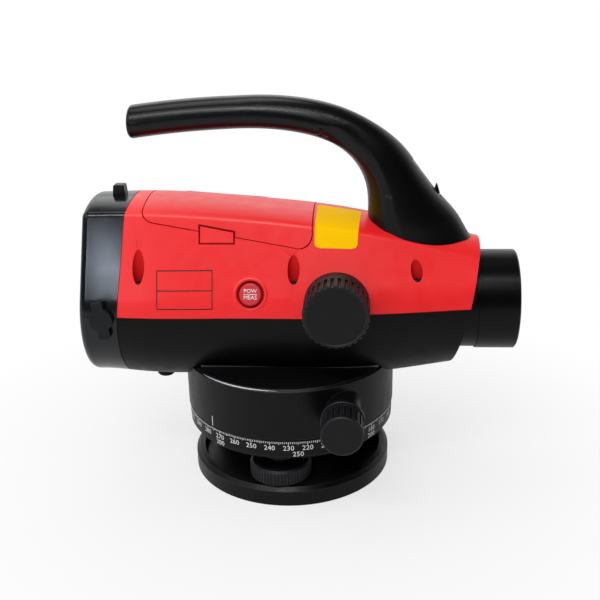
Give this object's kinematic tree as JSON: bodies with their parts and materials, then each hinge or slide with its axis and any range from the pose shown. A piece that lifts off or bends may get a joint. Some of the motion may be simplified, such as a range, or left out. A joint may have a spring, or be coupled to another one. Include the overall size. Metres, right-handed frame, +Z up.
{
  "type": "surveying level",
  "caption": "Digital surveying level: telescope with focusing and slow motion knobs in a two-part housing with carrying handle, on a levelling head with foot screws and tripod thread.",
  "frame": {"origin": "middle of the base plate's underside, at the mouth of the tripod thread", "axes": "+Z up along the upright axis, +X along the telescope towards the objective, -Y towards the side with the focusing knob"},
  "size_m": [0.244, 0.166, 0.2163],
  "materials": {
    "cover_red": "satin red moulded plastic",
    "button_red": "satin dark red plastic",
    "shell_black": "fine matt black plastic",
    "rear_grey": "matt dark bluish grey plastic",
    "handle_black": "smooth black plastic",
    "knob_black": "matt black plastic",
    "black_alloy": "black coated light alloy",
    "bare_alloy": "machined light alloy",
    "steel": "turned steel",
    "brass": "turned brass",
    "optical_glass": "coated optical glass",
    "black_rubber": "soft black rubber",
    "board_green": "circuit board",
    "display_grey": "liquid crystal display",
    "battery_black": "battery case"
  },
  "bodies": {
    "base": {"base_plate": "black_alloy", "spring_plate": "steel"},
    "foot_1": {"foot_screw_1": "steel", "foot_knob_1": "knob_black"},
    "foot_2": {"foot_screw_2": "steel", "foot_knob_2": "knob_black"},
    "foot_3": {"foot_screw_3": "steel", "foot_knob_3": "knob_black"},
    "head": {"tribrach": "black_alloy", "foot_bushes": "steel", "axis_bush": "brass"},
    "circle": {"circle_ring": "black_alloy"},
    "wheel": {"worm_wheel": "brass", "clutch_spring": "steel"},
    "alidade": {"drum": "black_alloy", "spindle": "steel", "spindle_nut": "brass", "upper_cover": "cover_red", "lower_housing": "shell_black", "rear_cover": "rear_grey", "telescope_tube": "black_alloy", "objective_lens": "optical_glass", "lens_ring": "knob_black", "chassis": "bare_alloy", "compensator_frame": "bare_alloy", "beam_splitter": "optical_glass", "splitter_seat": "bare_alloy", "sensor_board": "board_green", "main_board": "board_green", "eyepiece_tube": "knob_black", "rear_panel": "rear_grey", "display": "display_grey", "keypad": "black_rubber", "door_pin": "steel", "battery_shelf": "knob_black", "battery": "battery_black", "port_socket": "shell_black", "handle": "handle_black", "rear_sight": "knob_black", "front_sight": "knob_black", "cover_screws": "steel", "adjuster_plug": "black_rubber", "level_housing": "steel", "level_vial": "optical_glass"},
    "tangent": {"worm_shaft": "steel", "tangent_knob_near": "knob_black", "tangent_knob_far": "knob_black"},
    "focus": {"focus_shaft": "steel", "focus_knob": "knob_black"},
    "carriage": {"focus_carriage": "bare_alloy", "focus_lens": "optical_glass"},
    "eyepiece": {"eyepiece_ring": "knob_black", "eye_lens": "optical_glass"},
    "compensator": {"pendulum": "bare_alloy"},
    "door": {"battery_door": "cover_red"},
    "latch": {"door_latch": "cover_red"},
    "button": {"measure_button": "button_red"},
    "cap": {"port_cap": "black_rubber"}
  },
  "joints": [
    {"name": "foot_turn_1", "type": "hinge", "parent": "base", "child": "foot_1", "pos_m": [-0.00349, -0.03985, 0.006], "axis": [0, 0, 1], "range_deg": [-901, 901]},
    {"name": "foot_turn_2", "type": "hinge", "parent": "base", "child": "foot_2", "pos_m": [0.03625, 0.0169, 0.006], "axis": [0, 0, 1], "range_deg": [-901, 901]},
    {"name": "foot_turn_3", "type": "hinge", "parent": "base", "child": "foot_3", "pos_m": [-0.03277, 0.02294, 0.006], "axis": [0, 0, 1], "range_deg": [-901, 901]},
    {"name": "head_lift", "type": "slide", "parent": "base", "child": "head", "axis": [0, 0, 1], "range_m": [-0.002, 0.002]},
    {"name": "circle_turn", "type": "hinge", "parent": "head", "child": "circle", "pos_m": [0, 0, 0.036], "axis": [0, 0, 1], "continuous": true},
    {"name": "coarse_turn", "type": "hinge", "parent": "head", "child": "wheel", "pos_m": [0, 0, 0.058], "axis": [0, 0, 1], "continuous": true},
    {"name": "fine_turn", "type": "hinge", "parent": "wheel", "child": "alidade", "pos_m": [0, 0, 0.058], "axis": [0, 0, 1], "continuous": true},
    {"name": "tangent_turn", "type": "hinge", "parent": "alidade", "child": "tangent", "pos_m": [0.032, 0, 0.058], "axis": [0, 1, 0], "continuous": true},
    {"name": "focus_turn", "type": "hinge", "parent": "alidade", "child": "focus", "pos_m": [0.0288, -0.04, 0.1149], "axis": [0, 1, 0], "range_deg": [-180, 180]},
    {"name": "carriage_slide", "type": "slide", "parent": "alidade", "child": "carriage", "axis": [1, 0, 0], "range_m": [-0.01036, 0.01036]},
    {"name": "eyepiece_turn", "type": "hinge", "parent": "alidade", "child": "eyepiece", "pos_m": [-0.1145, 0, 0.1015], "axis": [1, 0, 0], "range_deg": [-120, 120]},
    {"name": "compensator_swing", "type": "hinge", "parent": "alidade", "child": "compensator", "pos_m": [-0.03, 0, 0.119], "axis": [0, 1, 0], "range_deg": [-0.5, 0.5]},
    {"name": "door_swing", "type": "hinge", "parent": "alidade", "child": "door", "pos_m": [-0.02975, 0.02009, 0.15026], "axis": [-0.9965, 0, 0.0837], "range_deg": [0, 55]},
    {"name": "latch_slide", "type": "slide", "parent": "door", "child": "latch", "axis": [0, 0.9303, -0.3668], "range_m": [0, 0.0012], "stiffness_N_per_m": 400, "springref_m": -0.001},
    {"name": "button_press", "type": "slide", "parent": "alidade", "child": "button", "axis": [0, 0.9212, -0.3891], "range_m": [0, 0.001], "stiffness_N_per_m": 1500, "springref_m": -0.001},
    {"name": "cap_swing", "type": "hinge", "parent": "alidade", "child": "cap", "pos_m": [-0.09897, -0.0423, 0.11368], "axis": [-0.9877, 0, -0.1564], "range_deg": [0, 100]}
  ],
  "couplings": [
    {"joint": "foot_turn_1", "follows": "head_lift", "rad_per_m": -7854},
    {"joint": "foot_turn_2", "follows": "head_lift", "rad_per_m": -7854},
    {"joint": "foot_turn_3", "follows": "head_lift", "rad_per_m": -7854},
    {"joint": "fine_turn", "follows": "tangent_turn", "ratio": 0.014925},
    {"joint": "focus_turn", "follows": "carriage_slide", "rad_per_m": -303.03}
  ]
}
